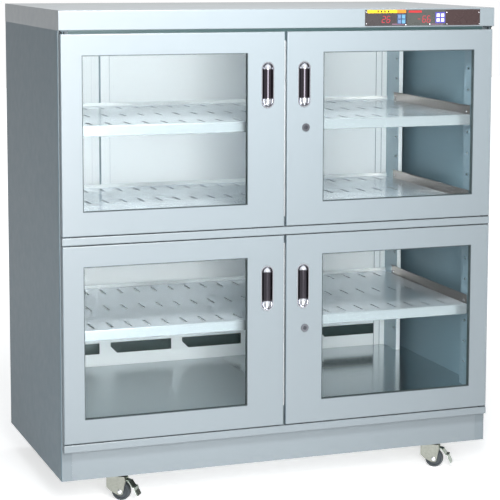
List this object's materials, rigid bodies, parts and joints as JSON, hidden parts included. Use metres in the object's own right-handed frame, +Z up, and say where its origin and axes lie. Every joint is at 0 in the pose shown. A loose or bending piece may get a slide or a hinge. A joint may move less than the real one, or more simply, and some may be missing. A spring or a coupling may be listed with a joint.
{
  "type": "desiccator cabinet",
  "caption": "Wide free-standing desiccator cabinet with hinged glazed doors over slotted shelves, flush pulls, locks, a top indicator strip and braked swivel casters.",
  "frame": {"origin": "middle of the overall width and depth, on the floor under the wheels", "axes": "+X to the cabinet's right seen from the front, +Y from the front to the back, +Z up"},
  "size_m": [1.2, 0.641, 1.275],
  "materials": {
    "body_paint": "fine powder coat",
    "front_paint": "smooth light powder coat",
    "liner_paint": "smooth white powder coat",
    "polished_sheet": "polished",
    "zinc": "zinc plated",
    "glazing": "clear",
    "seal": "matt",
    "pull_metal": "mirror plated",
    "dryer_sheet": "plain coat",
    "desiccant": "porous",
    "dark_plastic": "satin",
    "key_plastic": "gloss",
    "wheel_rubber": "satin",
    "pedal_metal": "plated"
  },
  "bodies": {
    "cabinet": {"side_panel_left": "body_paint", "side_panel_right": "body_paint", "back_panel": "body_paint", "rear_liner": "liner_paint", "top_deck": "liner_paint", "top_cover": "front_paint", "floor_panel": "polished_sheet", "caster_mounts": "zinc", "kick_plate": "front_paint", "front_rails": "front_paint", "centre_posts": "liner_paint", "uprights": "liner_paint", "shelf_brackets": "zinc", "shelf_upper": "polished_sheet", "shelf_middle": "polished_sheet", "shelf_lower": "polished_sheet", "hinge_plates": "zinc", "dryer_case": "dryer_sheet", "desiccant_block": "desiccant", "power_inlet": "dark_plastic", "indicator_plates": "dark_plastic"},
    "door_ul": {"door_frame_ul": "front_paint", "door_glass_ul": "glazing", "door_seal_ul": "seal", "door_pull_ul": "pull_metal"},
    "door_ur": {"door_frame_ur": "front_paint", "door_glass_ur": "glazing", "door_seal_ur": "seal", "door_pull_ur": "pull_metal", "lock_barrel_upper": "pull_metal"},
    "door_ll": {"door_frame_ll": "front_paint", "door_glass_ll": "glazing", "door_seal_ll": "seal", "door_pull_ll": "pull_metal"},
    "door_lr": {"door_frame_lr": "front_paint", "door_glass_lr": "glazing", "door_seal_lr": "seal", "door_pull_lr": "pull_metal", "lock_barrel_lower": "pull_metal"},
    "lock_plug_upper": {"lock_plug_upper": "pull_metal"},
    "lock_plug_lower": {"lock_plug_lower": "pull_metal"},
    "temp_key_1": {"temp_key_1": "key_plastic"},
    "temp_key_2": {"temp_key_2": "key_plastic"},
    "temp_key_3": {"temp_key_3": "key_plastic"},
    "temp_key_4": {"temp_key_4": "key_plastic"},
    "humid_key_1": {"humid_key_1": "key_plastic"},
    "humid_key_2": {"humid_key_2": "key_plastic"},
    "humid_key_3": {"humid_key_3": "key_plastic"},
    "humid_key_4": {"humid_key_4": "key_plastic"},
    "dryer_flap": {"dryer_flap": "dryer_sheet"},
    "caster_fork_fl": {"caster_fork_fl": "zinc"},
    "caster_wheel_fl": {"caster_wheel_fl": "wheel_rubber"},
    "caster_fork_fr": {"caster_fork_fr": "zinc"},
    "caster_wheel_fr": {"caster_wheel_fr": "wheel_rubber"},
    "caster_fork_rl": {"caster_fork_rl": "zinc"},
    "caster_wheel_rl": {"caster_wheel_rl": "wheel_rubber"},
    "caster_fork_rr": {"caster_fork_rr": "zinc"},
    "caster_wheel_rr": {"caster_wheel_rr": "wheel_rubber"},
    "brake_pedal_left": {"brake_pedal_left": "pedal_metal"},
    "brake_pedal_right": {"brake_pedal_right": "pedal_metal"}
  },
  "joints": [
    {"name": "door_ul_swing", "type": "hinge", "parent": "cabinet", "child": "door_ul", "pos_m": [-0.589, -0.3105, 0.9625], "axis": [0, 0, -1], "range_deg": [0, 110]},
    {"name": "door_ur_swing", "type": "hinge", "parent": "cabinet", "child": "door_ur", "pos_m": [0.589, -0.3105, 0.9625], "axis": [0, 0, 1], "range_deg": [0, 110]},
    {"name": "door_ll_swing", "type": "hinge", "parent": "cabinet", "child": "door_ll", "pos_m": [-0.589, -0.3105, 0.4295], "axis": [0, 0, -1], "range_deg": [0, 110]},
    {"name": "door_lr_swing", "type": "hinge", "parent": "cabinet", "child": "door_lr", "pos_m": [0.589, -0.3105, 0.4295], "axis": [0, 0, 1], "range_deg": [0, 110]},
    {"name": "lock_upper_turn", "type": "hinge", "parent": "door_ur", "child": "lock_plug_upper", "pos_m": [0.0555, -0.3105, 0.9665], "axis": [0, 1, 0], "range_deg": [0, 90]},
    {"name": "lock_lower_turn", "type": "hinge", "parent": "door_lr", "child": "lock_plug_lower", "pos_m": [0.0555, -0.3105, 0.4335], "axis": [0, 1, 0], "range_deg": [0, 90]},
    {"name": "temp_key_1_press", "type": "slide", "parent": "cabinet", "child": "temp_key_1", "axis": [0, 1, 0], "range_m": [0, 0.0008], "stiffness_N_per_m": 400},
    {"name": "temp_key_2_press", "type": "slide", "parent": "cabinet", "child": "temp_key_2", "axis": [0, 1, 0], "range_m": [0, 0.0008], "stiffness_N_per_m": 400},
    {"name": "temp_key_3_press", "type": "slide", "parent": "cabinet", "child": "temp_key_3", "axis": [0, 1, 0], "range_m": [0, 0.0008], "stiffness_N_per_m": 400},
    {"name": "temp_key_4_press", "type": "slide", "parent": "cabinet", "child": "temp_key_4", "axis": [0, 1, 0], "range_m": [0, 0.0008], "stiffness_N_per_m": 400},
    {"name": "humid_key_1_press", "type": "slide", "parent": "cabinet", "child": "humid_key_1", "axis": [0, 1, 0], "range_m": [0, 0.0008], "stiffness_N_per_m": 400},
    {"name": "humid_key_2_press", "type": "slide", "parent": "cabinet", "child": "humid_key_2", "axis": [0, 1, 0], "range_m": [0, 0.0008], "stiffness_N_per_m": 400},
    {"name": "humid_key_3_press", "type": "slide", "parent": "cabinet", "child": "humid_key_3", "axis": [0, 1, 0], "range_m": [0, 0.0008], "stiffness_N_per_m": 400},
    {"name": "humid_key_4_press", "type": "slide", "parent": "cabinet", "child": "humid_key_4", "axis": [0, 1, 0], "range_m": [0, 0.0008], "stiffness_N_per_m": 400},
    {"name": "dryer_flap_swing", "type": "hinge", "parent": "cabinet", "child": "dryer_flap", "pos_m": [0, 0.0931, 0.2036], "axis": [-1, 0, 0], "range_deg": [0, 60]},
    {"name": "caster_fl_swivel", "type": "hinge", "parent": "cabinet", "child": "caster_fork_fl", "pos_m": [-0.45, -0.2475, 0.065], "axis": [0, 0, 1], "continuous": true},
    {"name": "caster_fl_roll", "type": "hinge", "parent": "caster_fork_fl", "child": "caster_wheel_fl", "pos_m": [-0.43198, -0.26012, 0.025], "axis": [0.5736, 0.8192, 0], "continuous": true},
    {"name": "caster_fr_swivel", "type": "hinge", "parent": "cabinet", "child": "caster_fork_fr", "pos_m": [0.45, -0.2475, 0.065], "axis": [0, 0, 1], "continuous": true},
    {"name": "caster_fr_roll", "type": "hinge", "parent": "caster_fork_fr", "child": "caster_wheel_fr", "pos_m": [0.46802, -0.26012, 0.025], "axis": [0.5736, 0.8192, 0], "continuous": true},
    {"name": "caster_rl_swivel", "type": "hinge", "parent": "cabinet", "child": "caster_fork_rl", "pos_m": [-0.45, 0.2585, 0.065], "axis": [0, 0, 1], "continuous": true},
    {"name": "caster_rl_roll", "type": "hinge", "parent": "caster_fork_rl", "child": "caster_wheel_rl", "pos_m": [-0.43198, 0.24588, 0.025], "axis": [0.5736, 0.8192, 0], "continuous": true},
    {"name": "caster_rr_swivel", "type": "hinge", "parent": "cabinet", "child": "caster_fork_rr", "pos_m": [0.45, 0.2585, 0.065], "axis": [0, 0, 1], "continuous": true},
    {"name": "caster_rr_roll", "type": "hinge", "parent": "caster_fork_rr", "child": "caster_wheel_rr", "pos_m": [0.46802, 0.24588, 0.025], "axis": [0.5736, 0.8192, 0], "continuous": true},
    {"name": "brake_left_press", "type": "hinge", "parent": "caster_fork_fl", "child": "brake_pedal_left", "pos_m": [-0.42461, -0.26528, 0.055], "axis": [0.5736, 0.8192, 0], "range_deg": [0, 18]},
    {"name": "brake_right_press", "type": "hinge", "parent": "caster_fork_fr", "child": "brake_pedal_right", "pos_m": [0.47539, -0.26528, 0.055], "axis": [0.5736, 0.8192, 0], "range_deg": [0, 18]}
  ]
}
